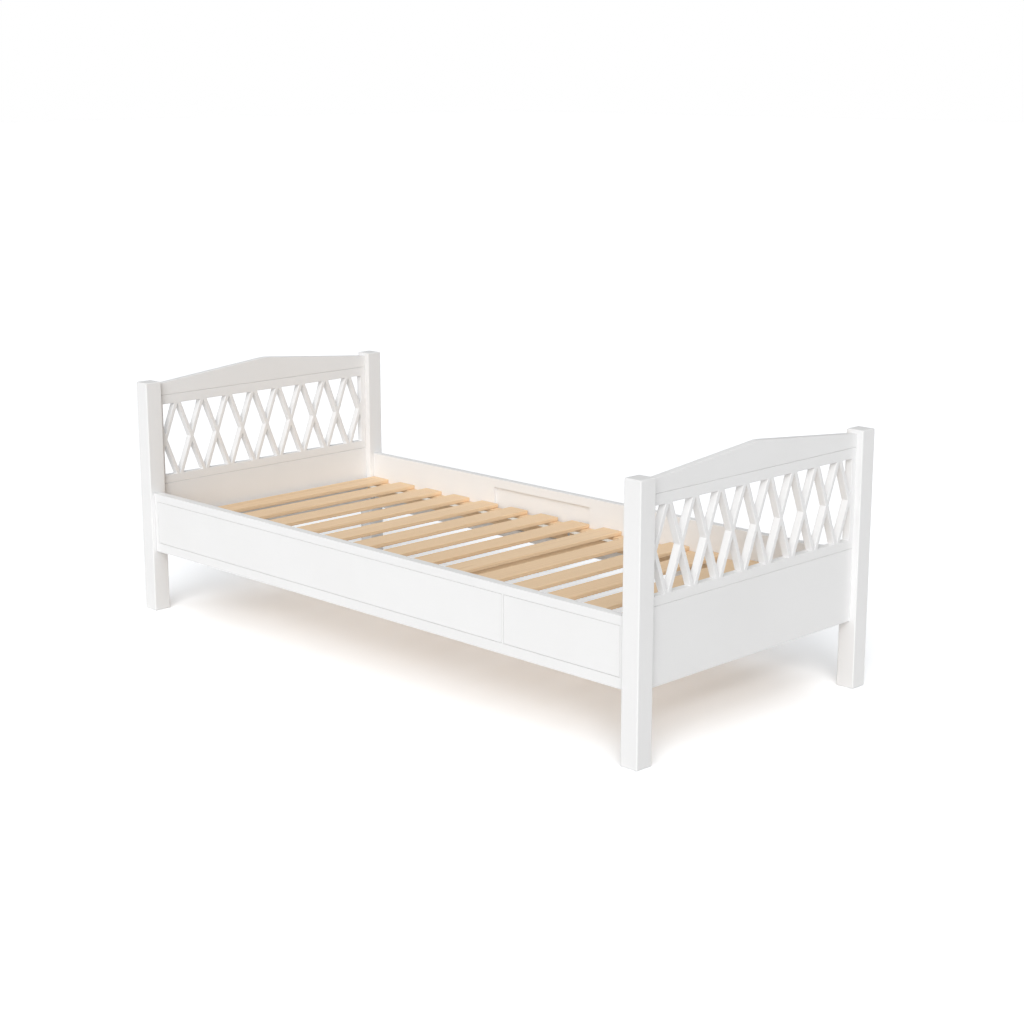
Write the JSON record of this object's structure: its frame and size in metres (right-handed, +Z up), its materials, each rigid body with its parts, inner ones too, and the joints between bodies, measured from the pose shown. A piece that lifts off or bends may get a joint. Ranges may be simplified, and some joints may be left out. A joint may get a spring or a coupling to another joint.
{
  "type": "toddler bed",
  "caption": "Low painted toddler bed with square posts, diamond lattice ends that rise to a soft peak, solid side rails and a loose pine slat base.",
  "frame": {"origin": "on the floor under the middle of the bed", "axes": "+X to the foot end, +Y to the right side, +Z up"},
  "size_m": [1.69, 0.78, 0.6159],
  "materials": {
    "white_paint": "satin white paint on smooth wood",
    "bare_pine": "planed and left bare",
    "beech": "bare",
    "zinc_steel": "zinc plated",
    "webbing": "woven tape"
  },
  "bodies": {
    "frame": {"head_post_left": "white_paint", "head_post_right": "white_paint", "foot_post_left": "white_paint", "foot_post_right": "white_paint", "head_crest_rail": "white_paint", "head_lattice_panel": "white_paint", "head_lower_panel": "white_paint", "foot_crest_rail": "white_paint", "foot_lattice_panel": "white_paint", "foot_lower_panel": "white_paint", "side_rail_left": "white_paint", "side_rail_right": "white_paint", "rail_facing_long_left": "white_paint", "rail_facing_short_left": "white_paint", "rail_facing_long_right": "white_paint", "rail_facing_short_right": "white_paint", "slat_ledger_left": "bare_pine", "slat_ledger_right": "bare_pine", "centre_cross_beam": "bare_pine", "bed_bolt_head_left": "zinc_steel", "bed_bolt_head_right": "zinc_steel", "bed_bolt_foot_left": "zinc_steel", "bed_bolt_foot_right": "zinc_steel", "barrel_nut_head_left": "zinc_steel", "barrel_nut_head_right": "zinc_steel", "barrel_nut_foot_left": "zinc_steel", "barrel_nut_foot_right": "zinc_steel", "thread_insert_head_left": "zinc_steel", "thread_insert_head_right": "zinc_steel", "thread_insert_foot_left": "zinc_steel", "thread_insert_foot_right": "zinc_steel", "rail_dowel_head_left": "beech", "rail_dowel_head_right": "beech", "rail_dowel_foot_left": "beech", "rail_dowel_foot_right": "beech", "ledger_screw_left_1": "zinc_steel", "ledger_screw_left_2": "zinc_steel", "ledger_screw_left_3": "zinc_steel", "ledger_screw_right_1": "zinc_steel", "ledger_screw_right_2": "zinc_steel", "ledger_screw_right_3": "zinc_steel"},
    "slat_base": {"slat_01": "bare_pine", "slat_02": "bare_pine", "slat_03": "bare_pine", "slat_04": "bare_pine", "slat_05": "bare_pine", "slat_06": "bare_pine", "slat_07": "bare_pine", "slat_08": "bare_pine", "slat_09": "bare_pine", "slat_10": "bare_pine", "slat_11": "bare_pine", "slat_12": "bare_pine", "slat_13": "bare_pine", "slat_14": "bare_pine", "slat_15": "bare_pine", "slat_tape_left": "webbing", "slat_tape_right": "webbing"}
  },
  "joints": [
    {"name": "slat_base_lift", "type": "slide", "parent": "frame", "child": "slat_base", "axis": [0, 0, 1], "range_m": [0, 0.42]}
  ]
}
